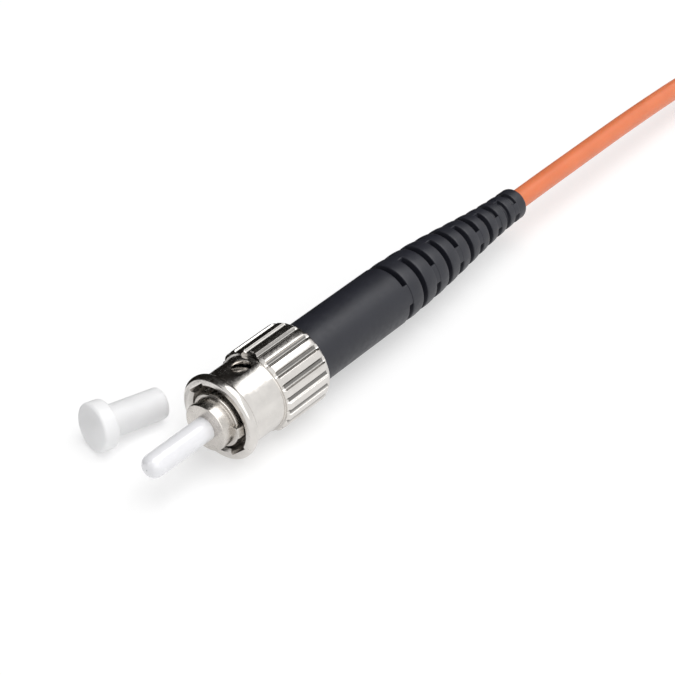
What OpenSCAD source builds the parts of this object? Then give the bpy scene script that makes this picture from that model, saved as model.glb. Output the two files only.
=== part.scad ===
// Bayonet fibre optic connector with a spring loaded coupling nut, its slotted boot,
// a one metre lead and the dust cap that protects the ferrule.
// The axis is Y, the ferrule points to -Y, +Z is up. The origin is on the axis, in the
// front face of the barrel, where the ferrule comes out.

/* [Ferrule] */
// Diameter of the ceramic ferrule
ferrule_d = 2.5; // [2.4:0.05:2.6]
// Length of ferrule that stands out of the barrel
ferrule_len = 8; // [7:0.5:10]
// Length of ferrule pressed into the barrel
ferrule_seat_len = 3.5; // [3:0.5:4.5]
// Diameter of the pressed length
ferrule_seat_d = 2; // [1.8:0.05:2.05]
// Diameter of the flat left at the tip
ferrule_tip_d = 1.5; // [1:0.1:1.8]
// Length of the rounded nose behind the tip
ferrule_nose_len = 0.9; // [0.5:0.1:1.2]
// Diameter of the glass fibre
fibre_d = 0.125; // [0.125:0.005:0.14]

/* [Barrel] */
// Diameter of the hub round the ferrule
hub_d = 5; // [4.6:0.1:5.2]
// Length of the hub
hub_len = 1; // [0.8:0.1:1.5]
// Diameter of the barrel behind the hub
barrel_d = 5.9; // [5.6:0.1:6]
// Length of that barrel, up to the spring flange
barrel_len = 4.6; // [4.2:0.1:5]
// Width of the locating key
key_w = 1.2; // [0.8:0.1:1.6]
// Length of the locating key
key_len = 2.4; // [1.6:0.1:3]
// Radius of the locating key's top
key_r = 3.35; // [3.1:0.05:3.4]
// Angle of the key, from +X towards +Z
key_angle = 5; // [0:5:90]
// Diameter of the flange that the spring bears on
flange_d = 6.6; // [6.3:0.1:6.8]
// Thickness of that flange
flange_t = 1; // [0.8:0.1:1.2]
// Diameter of the stem that carries the nut
stem_d = 4.3; // [4.2:0.05:4.4]
// Length of the stem, from the flange to the crimp post
stem_len = 6.8; // [6.5:0.1:7.2]
// Diameter of the knurled crimp post
post_d = 4; // [3.8:0.05:4.1]
// Length of the crimp post
post_len = 4.6; // [4:0.1:5]
// Bore of the barrel behind the ferrule
barrel_bore_d = 1.6; // [1.5:0.05:1.8]

/* [Coupling nut] */
// Overall length of the nut
nut_len = 11.9; // [11.8:0.1:12.1]
// Distance from the barrel's front face to the nut's front face
nut_front = 1.7; // [1.5:0.1:1.9]
// Diameter of the front bead
bead_d = 9.4; // [9.2:0.1:9.8]
// Length of the front bead
bead_len = 1.15; // [1:0.05:1.3]
// Diameter of the neck behind the bead
neck_d = 8.2; // [8.1:0.05:8.4]
// Diameter over the fluted grip
grip_d = 9.3; // [9:0.1:9.4]
// Length of the fluted grip
grip_len = 6.45; // [6.3:0.05:6.6]
// Number of flutes
flute_n = 20; // [16:1:24]
// Diameter of the cutter that makes each flute
flute_d = 0.56; // [0.4:0.02:0.7]
// Angle of the first flute
flute_angle = 14; // [0:1:18]
// Front bore, which goes over the adapter
nut_bore_d = 7; // [6.9:0.05:7.1]
// Width of the bayonet slots
slot_w = 2.4; // [2.2:0.1:2.5]
// Distance from the axis to the floor of the slots
slot_floor = 3.85; // [3.75:0.05:3.9]
// Angle of the first bayonet slot
slot_angle = 135; // [90:5:180]
// Turn from the bayonet slot to its lock hole
lock_turn = 39; // [35:1:45]
// Diameter of the lock holes
lock_hole_d = 2.1; // [1.9:0.1:2.2]
// Diameter of the flat round each lock hole
spotface_d = 3.6; // [3.2:0.1:3.8]
// Distance from the nut's front face to the lock holes
lock_hole_at = 4.1; // [4:0.1:4.3]
// Thickness of the web that rides on the stem
web_t = 0.9; // [0.8:0.1:1.1]
// Diameter of the recess behind the web
recess_d = 7.3; // [7.1:0.1:7.5]
// Radial clearance of the nut and the washer on the stem
stem_gap = 0.08; // [0.05:0.01:0.1]
// How far the nut slides forward
nut_travel = 2; // [1.5:0.1:2.1]

/* [Spring] */
// Wire diameter of the coil spring
wire_d = 0.4; // [0.35:0.01:0.42]
// Mean diameter of the coil spring
spring_d = 5.5; // [5.3:0.05:5.6]
// Number of turns
spring_turns = 4.25; // [3.75:0.25:4.5]
// Thickness of the thrust washer
washer_t = 0.35; // [0.3:0.05:0.4]
// Diameter of the thrust washer
washer_d = 6.6; // [6.2:0.1:6.8]

/* [Boot] */
// Diameter of the boot's front
boot_d = 6.9; // [6.6:0.1:7]
// Diameter of the boot's end
boot_end_d = 3.75; // [3.5:0.05:4.2]
// Place of the boot's front face along the axis
boot_front = 13; // [12.9:0.1:13.2]
// Place of the boot's end along the axis
boot_end = 51.6; // [51:0.1:53]
// Place where the taper starts
taper_start = 27; // [26:0.5:28]
// Number of slotted stations
station_n = 11; // [9:1:11]
// Place of the first station
station_start = 28.2; // [28:0.1:29]
// Distance from the first station to the second
station_pitch = 2.55; // [2.4:0.01:2.6]
// How much each next pitch is shorter
pitch_step = 0.09; // [0.08:0.005:0.1]
// Width of the slots
boot_slot_w = 0.75; // [0.6:0.05:0.9]
// Angle of rubber left between the two slots of a station
web_angle = 40; // [34:1:46]
// Angle of the first station's web
web_at = 26; // [0:1:90]
// Rubber left under the slots, round the lead
boot_core_wall = 0.22; // [0.2:0.01:0.28]
// Depth of the hollow beside each slot
rib_round = 0.1; // [0.05:0.01:0.14]

/* [Lead] */
// Diameter of the jacket
cable_d = 2.4; // [2.2:0.05:2.5]
// Diameter of the tight buffer
buffer_d = 0.9; // [0.8:0.05:1]
// Clearance round the lead in the boot and the crimp sleeve
cable_gap = 0.05; // [0.02:0.01:0.08]
// Place of the cut jacket end inside the crimp sleeve
jacket_start = 22; // [22:0.1:22.4]
// Wall of the crimp sleeve
sleeve_wall = 0.3; // [0.25:0.05:0.35]
// Thickness of the layer of yarn under the crimp sleeve
yarn_t = 0.12; // [0.08:0.02:0.14]

/* [Dust cap] */
// Diameter of the cap's head
cap_head_d = 5.2; // [4.8:0.1:5.4]
// Thickness of the cap's head
cap_head_t = 1.7; // [1.4:0.1:2]
// Diameter of the cap's tube
cap_tube_d = 3.4; // [3.2:0.1:3.6]
// Length of the cap's tube
cap_tube_len = 6.6; // [6:0.1:7.5]
// Depth of the cap's bore
cap_bore_depth = 7.2; // [6.5:0.1:7.5]

/* [Stored hank] */
// Length of the straight part of the hank's runs
hank_run = 30; // [28:1:34]
// Number of lanes on each side of the hank
hank_lanes = 2; // [2:1:3]
// Number of layers
hank_layers = 4; // [3:1:4]
// Width of the tie round the hank
tie_w = 6; // [5:0.5:8]
// Thickness of the tie
tie_t = 0.5; // [0.4:0.05:0.6]

/* [Hidden] */
$fn = 96;

edge = 0.15;                                  // small bevel on turned edges
face_gap = 0.05;                              // clearance between faces that run on each other
floor_z = -bead_d/2;                          // what the connector lies on

flange_front = hub_len + barrel_len;
flange_back = flange_front + flange_t;
post_front = flange_back + stem_len;
post_back = post_front + post_len;

nut_back = nut_front + nut_len;
grip_front = nut_back - grip_len;
lock_y = nut_front + lock_hole_at;
lock_angle = slot_angle - lock_turn;
lock_spot = neck_d/2 - 0.15;                  // distance from the axis to the flat round a hole
grip_bevel = 0.3;
bead_r = bead_len/2;
ring_t = 0.4;                                 // retaining ring's thickness
ring_front = boot_front - ring_t - 2*face_gap;
web_back = ring_front - 2*face_gap;
web_front = web_back - web_t;
washer_back = web_front - face_gap;
washer_front = washer_back - washer_t;
stem_bore_d = stem_d + 2*stem_gap;
ring_groove_d = stem_d - 0.6;

lead_in_d = barrel_bore_d - 0.1;
sleeve_in_d = post_d + 2*yarn_t;
sleeve_small_d = cable_d + 2*cable_gap;
sleeve_step = post_back + 0.4;                // where the sleeve starts to neck down
sleeve_neck = jacket_start - 0.4;             // where it has necked down to the jacket
sleeve_end = jacket_start + 2.6;
boot_bore_d = cable_d + 2*cable_gap;

spring_front = flange_back + wire_d/2 + face_gap/2;
spring_back = washer_front - wire_d/2 - face_gap/2;

// The lead: straight out of the boot, then down to what the connector lies on, and
// across to the outer lane of the hank.
hank_fold_r = 3*cable_d;                      // radius of the innermost fold
hank_half_w = hank_fold_r + cable_d*(hank_lanes - 0.5);
hank_front = 122;
hank_x = -3;
CABLE_ROUTE = [
    [0, jacket_start, 0], [0, 28, 0], [0, 34, 0], [0, 40, 0], [0, 46, 0], [0, 52, 0], [0, 58, 0],
    [0, 64, -0.05], [0, 70, -0.1], [0, 76, -0.2], [0, 82, -0.4], [0, 88, -0.7], [0.2, 94, -1.1],
    [0.9, 100, -1.8], [2.1, 106, -2.5], [3.6, 112, -3.1], [5, 118, -3.4], [6.1, 124, -3.5],
    [6.6, 130, -3.5]];

// The cap lies on the head's rim and on the tube's end.
cap_len = cap_head_t + cap_tube_len;
cap_tip = asin((cap_head_d - cap_tube_d)/2/cap_tube_len);
cap_place = [-10.15, -5.66];
cap_heading = -10;

// Points of an arc in an outline, as [radius, place along the axis].
function arc(c, r, from, to, n = 6) =
    [for (i = [0:n]) let (a = from + (to - from)*i/n) c + r*[cos(a), sin(a)]];

// A solid turned about the Y axis from points [radius, y].
module turned(points) rotate([-90, 0, 0]) rotate_extrude() polygon(points);

// A rod on the Y axis from y0 to y1.
module rod(d, y0, y1) translate([0, y0, 0]) rotate([-90, 0, 0]) cylinder(d = d, h = y1 - y0);

// Turns its children about the Y axis, from +X towards +Z.
module about_axis(a) rotate([0, -a, 0]) children();

// A rod that stands on the axis at y, pointing to +X.
module radial_rod(d, y, from, to) translate([from, y, 0]) rotate([0, 90, 0]) cylinder(d = d, h = to - from);

module ferrule() color("white") difference() {
    turned(concat(
        [[0, -ferrule_len], [ferrule_tip_d/2, -ferrule_len]],
        [for (i = [1:6]) let (a = 90*i/6)
            [ferrule_tip_d/2 + (ferrule_d - ferrule_tip_d)/2*sin(a),
             -ferrule_len + ferrule_nose_len*(1 - cos(a))]],
        [[ferrule_d/2, 0], [ferrule_seat_d/2, 0], [ferrule_seat_d/2, ferrule_seat_len - edge],
         [ferrule_seat_d/2 - edge, ferrule_seat_len], [0, ferrule_seat_len]]));
    rod(fibre_d, -ferrule_len - 1, ferrule_seat_len + 1);
    turned([[0, ferrule_seat_len + 0.01], [buffer_d/2, ferrule_seat_len + 0.01],
            [buffer_d/2, ferrule_seat_len - 0.1], [0, ferrule_seat_len - 1]]);
}

module fibre() color("lightcyan") rod(fibre_d, -ferrule_len, ferrule_seat_len);

module barrel() color("silver") difference() {
    union() {
        turned(concat(
            [[0, 0], [hub_d/2 - edge, 0], [hub_d/2, edge], [hub_d/2, hub_len],
             [barrel_d/2 - edge, hub_len], [barrel_d/2, hub_len + edge], [barrel_d/2, flange_front],
             [flange_d/2 - edge, flange_front], [flange_d/2, flange_front + edge],
             [flange_d/2, flange_back], [stem_d/2, flange_back],
             [stem_d/2, ring_front - face_gap], [ring_groove_d/2, ring_front - face_gap],
             [ring_groove_d/2, ring_front + ring_t + face_gap], [stem_d/2, ring_front + ring_t + face_gap],
             [stem_d/2, post_front - edge], [post_d/2 - edge, post_front]],
            [for (i = [0:7], q = [[0, 0.25], [0, 0.75], [-edge, 1]])
                [post_d/2 + q[0], post_front + (i + q[1])*post_len/8]],
            [[0, post_back]]));
        about_axis(key_angle) translate([0, hub_len + 0.1, -key_w/2])
            cube([key_r, key_len, key_w]);
    }
    rod(ferrule_seat_d, -1, ferrule_seat_len);
    rod(barrel_bore_d, ferrule_seat_len - 0.01, post_back + 1);
}

module lead_in_tube() color("lightyellow") difference() {
    rod(lead_in_d, ferrule_seat_len + 1, post_back);
    rod(buffer_d + 0.04, ferrule_seat_len, post_back + 1);
}

module buffer() color("ivory") rod(buffer_d, ferrule_seat_len, jacket_start);

module aramid_yarn() color("gold") turned([
    [post_d/2 + face_gap/5, post_front + 0.2], [sleeve_in_d/2 - face_gap/5, post_front + 0.2],
    [sleeve_in_d/2 - face_gap/5, sleeve_step], [cable_d/2, sleeve_neck - 0.1],
    [cable_d/2 - 0.2, jacket_start], [buffer_d/2, jacket_start],
    [buffer_d/2 + 0.05, sleeve_neck - 0.1], [post_d/2 - 0.3, post_back + 0.1],
    [post_d/2 + face_gap/5, post_back]]);

module crimp_sleeve() color("gainsboro") difference() {
    turned([
        [0, post_front + 0.1], [sleeve_in_d/2 + sleeve_wall, post_front + 0.1],
        [sleeve_in_d/2 + sleeve_wall, sleeve_step], [sleeve_small_d/2 + sleeve_wall, sleeve_neck],
        [sleeve_small_d/2 + sleeve_wall, sleeve_end], [0, sleeve_end]]);
    turned([
        [0, post_front], [sleeve_in_d/2, post_front], [sleeve_in_d/2, sleeve_step],
        [sleeve_small_d/2, sleeve_neck], [sleeve_small_d/2, sleeve_end + 1], [0, sleeve_end + 1]]);
}

module retaining_ring() color("dimgray") difference() {
    rod(stem_d + 1.4, ring_front, ring_front + ring_t);
    rod(ring_groove_d + 2*face_gap, ring_front - 1, ring_front + ring_t + 1);
    about_axis(200) translate([0, ring_front - 1, -stem_d/3]) cube([stem_d, ring_t + 2, stem_d/1.5]);
}

// Points of the spring's centre line. The end turns lie flat, the others climb.
function climb(t) = let (d = 0.75, f = spring_turns - 2*d)
    t < d ? 0.35*t/d : t > spring_turns - d ? f + 0.35 + 0.35*(t - spring_turns + d)/d : 0.35 + t - d;
spring_steps = 20;
spring_total = climb(spring_turns);
spring_wire_sides = 8;
module spring() color("lightgray") {
    rings = round(spring_turns*spring_steps);
    points = [for (i = [0:rings], k = [0:spring_wire_sides - 1])
        let (t = i/spring_steps, a = 360*t, b = 360*k/spring_wire_sides,
             y = spring_front + (spring_back - spring_front)*climb(t)/spring_total,
             r = spring_d/2 + wire_d/2*cos(b))
        [r*cos(a), y + wire_d/2*sin(b), r*sin(a)]];
    swept(points, spring_wire_sides, rings + 1);
}

module thrust_washer() color("gray") difference() {
    rod(washer_d, washer_front, washer_back);
    rod(stem_bore_d, washer_front - 1, washer_back + 1);
}

module coupling_nut() color("silver") difference() {
    turned(concat(
        [[nut_bore_d/2 + 0.3, nut_front]],
        arc([bead_d/2 - 0.42, nut_front + 0.42], 0.42, -90, 0),
        arc([bead_d/2 - bead_r, nut_front + bead_len - bead_r], bead_r, 0, 78),
        [[neck_d/2, nut_front + bead_len], [neck_d/2, grip_front],
         [grip_d/2 - grip_bevel, grip_front], [grip_d/2, grip_front + grip_bevel],
         [grip_d/2, nut_back - 2*grip_bevel], [grip_d/2 - grip_bevel/3, nut_back - grip_bevel],
         [grip_d/2 - grip_bevel, nut_back], [recess_d/2 + edge, nut_back], [recess_d/2, nut_back - edge],
         [recess_d/2, web_back], [stem_bore_d/2, web_back], [stem_bore_d/2, web_front],
         [nut_bore_d/2, web_front], [nut_bore_d/2, nut_front + 0.3]]));
    for (i = [0:flute_n - 1]) about_axis(flute_angle + 360*i/flute_n)
        translate([grip_d/2 + 0.02, grip_front - 1, 0]) rotate([-90, 0, 0])
            cylinder(d = flute_d, h = grip_len + 2, $fn = 24);
    for (side = [0, 180]) {
        about_axis(slot_angle + side) translate([0, nut_front - 1, -slot_w/2])
            cube([slot_floor, lock_hole_at + 1 - 0.6, slot_w]);
        for (i = [1:3]) about_axis(slot_angle + side - i*lock_turn/4)
            translate([0, lock_y - 2 + 0.35*i, -slot_w/2])
                cube([slot_floor - 0.05, slot_w - 0.4, slot_w]);
        about_axis(lock_angle + side) {
            radial_rod(lock_hole_d, lock_y, nut_bore_d/2 - 1, grip_d);
            radial_rod(spotface_d, lock_y, lock_spot, grip_d);
        }
    }
}

// Radius of the boot: a straight front, then an S-shaped taper to the end.
function boot_r(y) = let (t = max(0, (y - taper_start)/(boot_end - taper_start)))
    boot_d/2 - (boot_d - boot_end_d)/4*(1 - cos(180*pow(t, 1.1)));
function station(k) = station_start + k*station_pitch - k*(k - 1)/2*pitch_step;
boot_lip = 0.45;
module boot() color([0.16, 0.16, 0.18]) difference() {
    turned(concat(
        [[0, boot_front], [boot_d/2 - edge, boot_front], [boot_d/2, boot_front + edge],
         [boot_d/2, taper_start]],
        [for (k = [0:station_n - 2], q = [0.16, 0.3, 0.5, 0.7, 0.84])
            let (y = station(k) + q*(station(k + 1) - station(k)))
            [boot_r(y) - rib_round*pow(abs(2*q - 1), 2), y]],
        [[boot_r(station(station_n - 1)), station(station_n - 1) + boot_slot_w/2]],
        arc([boot_end_d/2 - boot_lip, boot_end - boot_lip], boot_lip, 0, 90),
        [[0, boot_end]]));
    turned([[0, boot_front - 1], [sleeve_in_d/2 + sleeve_wall + cable_gap, boot_front - 1],
        [sleeve_in_d/2 + sleeve_wall + cable_gap, sleeve_step + 0.05],
        [sleeve_small_d/2 + sleeve_wall + cable_gap, sleeve_neck + 0.05],
        [sleeve_small_d/2 + sleeve_wall + cable_gap, sleeve_end + 0.1],
        [boot_bore_d/2, sleeve_end + 0.4], [boot_bore_d/2, boot_end + 1], [0, boot_end + 1]]);
    for (k = [0:station_n - 1], side = [0, 180])
        translate([0, station(k) - boot_slot_w/2, 0])
            rotate([-90, 0, 0]) rotate([0, 0, side - web_at - 90*k + web_angle/2])
                rotate_extrude(angle = 180 - web_angle)
                    translate([boot_bore_d/2 + boot_core_wall, 0]) square([boot_d, boot_slot_w]);
}

module dust_cap() color([0.95, 0.95, 0.96])
    translate([cap_place[0], cap_place[1], floor_z + cap_head_d/2*cos(cap_tip)])
    rotate([0, 0, cap_heading]) rotate([-cap_tip, 0, 0]) difference() {
        turned(concat(
            [[0, 0]], arc([cap_head_d/2 - 0.35, 0.35], 0.35, -90, 0),
            arc([cap_head_d/2 - 0.25, cap_head_t - 0.25], 0.25, 0, 90),
            [[cap_tube_d/2, cap_head_t]], arc([cap_tube_d/2 - 0.3, cap_len - 0.3], 0.3, 0, 75),
            [[0, cap_len]]));
        rod(ferrule_d, cap_len - cap_bore_depth, cap_len + 1);
    }

// Joins rings of points into one closed tube.
module swept(points, sides, rings) polyhedron(points, concat(
    [[for (k = [sides - 1:-1:0]) k]],
    [for (i = [0:rings - 2], k = [0:sides - 1]) let (a = i*sides, n = (k + 1) % sides)
        [a + k, a + n, a + sides + n, a + sides + k]],
    [[for (k = [0:sides - 1]) (rings - 1)*sides + k]]), convexity = 10);

cable_sides = 8;
function unit(v) = v/norm(v);
function heading(i) = unit(CABLE_ROUTE[min(i + 1, len(CABLE_ROUTE) - 1)] - CABLE_ROUTE[max(i - 1, 0)]);
module cable() color([0.91, 0.55, 0.38]) {
    points = [for (i = [0:len(CABLE_ROUTE) - 1], k = [0:cable_sides - 1])
        let (t = heading(i), side = unit(cross(t, [0, 0, 1])), up = cross(side, t),
             a = 360*(k + 0.5)/cable_sides)
        CABLE_ROUTE[i] + cable_d/2*(cos(a)*up + sin(a)*side)];
    swept(points, cable_sides, len(CABLE_ROUTE));
}

hank_h = hank_layers*cable_d;
tie_y = hank_front + hank_half_w + hank_run/2;
module hank() color([0.91, 0.55, 0.38]) difference() {
    translate([hank_x, hank_front + hank_half_w, floor_z]) {
        for (y = [0, hank_run]) translate([0, y, 0]) cylinder(r = hank_half_w, h = hank_h);
        translate([-hank_half_w, 0, 0]) cube([2*hank_half_w, hank_run, hank_h]);
    }
    translate([hank_x - 2*hank_half_w, tie_y - tie_w/2, floor_z - 1])
        cube([4*hank_half_w, tie_w, 1 + tie_t]);
}

module hank_tie() color("black") translate([hank_x, tie_y - tie_w/2, floor_z]) difference() {
    translate([-hank_half_w - tie_t, 0, 0])
        cube([2*(hank_half_w + tie_t), tie_w, hank_h + tie_t]);
    translate([-hank_half_w, -1, tie_t]) cube([2*hank_half_w, tie_w + 2, hank_h - tie_t]);
}

ferrule();
fibre();
barrel();
lead_in_tube();
buffer();
aramid_yarn();
crimp_sleeve();
retaining_ring();
spring();
thrust_washer();
coupling_nut();
boot();
dust_cap();
cable();
hank();
hank_tie();
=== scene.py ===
"""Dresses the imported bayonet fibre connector: ferrule, barrel, coupling nut, boot, lead and dust cap.

It is laid out as an add-on and run as a script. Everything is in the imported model's frame, in metres:
the axis is Y, the ferrule points to -Y and +Z is up. Forms are drawn in millimetres and scaled once.
"""

import math
import bmesh
import bpy
import numpy as np
from bpy.props import FloatProperty, FloatVectorProperty, IntProperty, PointerProperty
from mathutils import Matrix, Vector


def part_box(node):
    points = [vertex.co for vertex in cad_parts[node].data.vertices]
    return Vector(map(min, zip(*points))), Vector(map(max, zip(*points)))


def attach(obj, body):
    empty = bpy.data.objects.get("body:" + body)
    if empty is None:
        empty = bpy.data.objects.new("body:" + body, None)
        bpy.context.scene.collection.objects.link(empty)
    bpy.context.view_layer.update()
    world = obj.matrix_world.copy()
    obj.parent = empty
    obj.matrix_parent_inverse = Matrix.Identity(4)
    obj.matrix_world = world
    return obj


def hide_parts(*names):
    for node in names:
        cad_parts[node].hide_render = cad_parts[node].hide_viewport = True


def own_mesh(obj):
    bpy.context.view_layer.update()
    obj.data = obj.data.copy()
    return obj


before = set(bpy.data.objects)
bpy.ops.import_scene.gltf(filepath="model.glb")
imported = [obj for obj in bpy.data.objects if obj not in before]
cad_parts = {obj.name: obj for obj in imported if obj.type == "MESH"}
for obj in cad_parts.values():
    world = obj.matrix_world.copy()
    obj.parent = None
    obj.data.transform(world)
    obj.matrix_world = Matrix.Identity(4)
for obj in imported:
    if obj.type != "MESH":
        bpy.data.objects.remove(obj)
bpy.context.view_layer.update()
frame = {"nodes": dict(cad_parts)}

bl_info = {
    "name": "Bayonet Fibre Connector",
    "version": (1, 0, 0),
    "blender": (4, 5, 0),
    "location": "3D View > Sidebar > Connector",
    "description": "Builds a bayonet fibre connector with its boot, lead and cap round its packed solids",
    "category": "Object",
}

MM = 0.001
SEAT_STEP = 0.25  # how much smaller the ferrule's radius is where it sits in the barrel


def mm_box(node):
    """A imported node's lowest and highest corner, in millimetres."""
    low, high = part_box(node)
    return low / MM, high / MM


# ---------------------------------------------------------------- settings


def length(name, description, default, **more):
    """A size in metres that the sidebar shows in the scene's units."""
    return FloatProperty(
        name=name, description=description, default=default, unit="LENGTH",
        subtype="DISTANCE", min=0, precision=5, **more)


def colour(name, description, default):
    return FloatVectorProperty(
        name=name, description=description, default=default, size=3, min=0, max=1, subtype="COLOR")


def amount(name, description, default, low=0.0, high=1.0):
    return FloatProperty(name=name, description=description, default=default, min=low, max=high)


class StudioSettings(bpy.types.PropertyGroup):
    """Camera, lamps and floor."""

    camera_place: FloatVectorProperty(
        name="Camera place", description="Where the camera stands",
        default=(0.092355, -0.090381, 0.110942), size=3, subtype="TRANSLATION", unit="LENGTH")
    camera_turn: FloatVectorProperty(
        name="Camera turn", description="The camera's rotation",
        default=(math.radians(52.1777), 0, math.radians(39.9197)), size=3, subtype="EULER", unit="ROTATION")
    lens: FloatProperty(name="Lens", description="Focal length in millimetres", default=93.333, min=10)
    key_power: FloatProperty(
        name="Top light", description="Power of the big soft box above", default=2.1, min=0, unit="POWER")
    fill_power: FloatProperty(
        name="Side light", description="Power of the soft box beside the camera",
        default=0.6, min=0, unit="POWER")
    room_level: amount("Room light", "How bright the room's even light is", 0.38, 0, 2)
    floor_colour: colour("Floor", "Colour of the floor", (0.94, 0.94, 0.94))


class FerruleSettings(bpy.types.PropertyGroup):
    """The ceramic ferrule."""

    tip_d: length("Tip", "Diameter of the polished flat at the tip", 0.00095)
    nose_len: length("Nose", "Length of the rounded nose", 0.00105)
    fibre_hole_d: length("Fibre hole", "Diameter of the hole for the fibre", 0.000127)
    colour: colour("Ceramic", "Colour of the zirconia", (0.88, 0.88, 0.905))


class MetalSettings(bpy.types.PropertyGroup):
    """Barrel and coupling nut."""

    flutes: IntProperty(
        name="Flutes", description="Number of flutes round the grip", default=20, min=8, max=40)
    flute_d: length("Flute", "Diameter of the cutter that makes a flute", 0.00072)
    flute_at: FloatProperty(
        name="First flute", description="Angle of the first flute, from +X towards +Z",
        default=math.radians(14), subtype="ANGLE", unit="ROTATION")
    edge: length("Edge rounding", "Radius left on cut edges", 0.00005)
    plating: colour("Plating", "Colour of the nickel plating", (0.70, 0.675, 0.645))
    barrel_plating: colour("Barrel plating", "Colour of the barrel's nickel", (0.60, 0.57, 0.535))
    roughness: amount("Roughness", "Roughness of the plating", 0.2)


class BootSettings(bpy.types.PropertyGroup):
    """The slotted rubber boot."""

    rubber: colour("Rubber", "Colour of the rubber", (0.014, 0.015, 0.022))
    slot_edge: length("Slot edge", "Radius on the edges of the slots", 0.0001)


class LeadSettings(bpy.types.PropertyGroup):
    """The lead, its hank and its tie."""

    length: length("Length", "Real length of the lead", 1.0)
    diameter: length("Jacket", "Diameter of the jacket", 0.0024)
    jacket: colour("Jacket colour", "Colour of the jacket", (0.78, 0.21, 0.085))
    tie: colour("Tie colour", "Colour of the tie", (0.012, 0.012, 0.013))


class CapSettings(bpy.types.PropertyGroup):
    """The dust cap."""

    plastic: colour("Plastic", "Colour of the soft plastic", (0.95, 0.95, 0.965))
    heading: FloatProperty(
        name="Heading", description="Turn of the cap's axis from the connector's axis",
        default=math.radians(-10), subtype="ANGLE", unit="ROTATION")


# ---------------------------------------------------------------- materials


def add(tree, kind, inputs=None, **settings):
    """Adds a node; inputs maps a socket to a value or to another node's output."""
    node = tree.nodes.new(kind)
    for name, value in settings.items():
        setattr(node, name, value)
    for name, value in (inputs or {}).items():
        if isinstance(value, bpy.types.NodeSocket):
            tree.links.new(value, node.inputs[name])
        else:
            node.inputs[name].default_value = value
    return node


def finish_of(name, colour_, **surface):
    """A new principled material: (material, tree, shader)."""
    made = bpy.data.materials.new(name)
    made.use_nodes = True
    tree = made.node_tree
    shader = tree.nodes["Principled BSDF"]
    shader.inputs["Base Color"].default_value = (*colour_, 1)
    for socket, value in surface.items():
        shader.inputs[socket.replace("_", " ")].default_value = value
    return made, tree, shader


def place_of(tree):
    """The point on the piece, in metres."""
    return add(tree, "ShaderNodeTexCoord").outputs["Object"]


def noise(tree, at, size_mm, detail=3.0, roughness=0.5):
    """Noise with features of about size_mm."""
    return add(tree, "ShaderNodeTexNoise", {
        "Vector": at, "Scale": 1 / (size_mm * MM), "Detail": detail, "Roughness": roughness,
    }).outputs["Fac"]


def between(tree, fac, low, high, from_low=0.3, from_high=0.7):
    """fac from its own range to low..high."""
    return add(tree, "ShaderNodeMapRange", {
        "Value": fac, "From Min": from_low, "From Max": from_high, "To Min": low, "To Max": high,
    }).outputs["Result"]


def tinted(tree, shader, fac, colour_, darker, lighter):
    """Varies the base colour between two strengths of colour_."""
    ramp = add(tree, "ShaderNodeValToRGB", {"Fac": fac})
    ends = ramp.color_ramp.elements
    ends[0].position, ends[1].position = 0.3, 0.7
    ends[0].color = (*[c * darker for c in colour_], 1)
    ends[1].color = (*[min(1, c * lighter) for c in colour_], 1)
    tree.links.new(ramp.outputs["Color"], shader.inputs["Base Color"])


def bumped(tree, shader, height, depth_mm, strength=1.0, under=None):
    """Adds height as a bump of that depth; under is a bump below it."""
    inputs = {"Height": height, "Distance": depth_mm * MM, "Strength": strength}
    if under is not None:
        inputs["Normal"] = under
    bump = add(tree, "ShaderNodeBump", inputs).outputs["Normal"]
    tree.links.new(bump, shader.inputs["Normal"])
    return bump


def turned_place(tree, at):
    """(distance from the axis, place along it): what a lathe tool's marks follow."""
    flat = add(tree, "ShaderNodeVectorMath", {0: at, 1: (1, 0, 1)}, operation="MULTIPLY").outputs[0]
    reach = add(tree, "ShaderNodeVectorMath", {0: flat}, operation="LENGTH").outputs["Value"]
    along = add(tree, "ShaderNodeSeparateXYZ", {"Vector": at}).outputs["Y"]
    return add(tree, "ShaderNodeCombineXYZ", {"X": reach, "Y": along}).outputs["Vector"]


def nickel(name, colour_, roughness, marks_mm=0.05, mark_depth=0.0006, groove_shade=None):
    """Bright nickel on turned brass: fine tool marks, a soft grain and small dull spots. Shade is painted
    into the flutes, given as (start, stop, distance of their floor and of the lands from the axis): the base
    colour darkens towards their floor."""
    made, tree, shader = finish_of(name, colour_, Metallic=1.0, Roughness=roughness)
    at = place_of(tree)
    tinted(tree, shader, noise(tree, at, 1.6, 4), colour_, 0.93, 1.05)
    dull = noise(tree, at, 0.5, 5, 0.65)
    tree.links.new(between(tree, dull, roughness * 0.75, roughness * 1.45), shader.inputs["Roughness"])
    lathe = turned_place(tree, at)
    # painted shade: in the flutes the base colour is darkened towards their floor
    if groove_shade:
        start, stop, floor_r, land_r = (size * MM for size in groove_shade)
        where = add(tree, "ShaderNodeSeparateXYZ", {"Vector": lathe}).outputs
        darkest_shade, fade = 0.3, 0.05 * MM
        shade_factor = between(tree, where["X"], darkest_shade, 1.0, floor_r, land_r)
        for ends in ((start, start - fade), (stop, stop + fade)):
            outside = between(tree, where["Y"], 0.0, 1.0, *ends)
            shade_factor = add(tree, "ShaderNodeMath", {0: shade_factor, 1: outside}, operation="MAXIMUM").outputs[0]
        base = shader.inputs["Base Color"].links[0].from_socket
        shaded = add(tree, "ShaderNodeVectorMath", {0: base, "Scale": shade_factor}, operation="SCALE")
        tree.links.new(shaded.outputs[0], shader.inputs["Base Color"])
    marks = bumped(tree, shader, noise(tree, lathe, marks_mm, 2), mark_depth)
    bumped(tree, shader, noise(tree, at, 0.11, 3), 0.0011, under=marks)
    return made


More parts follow.
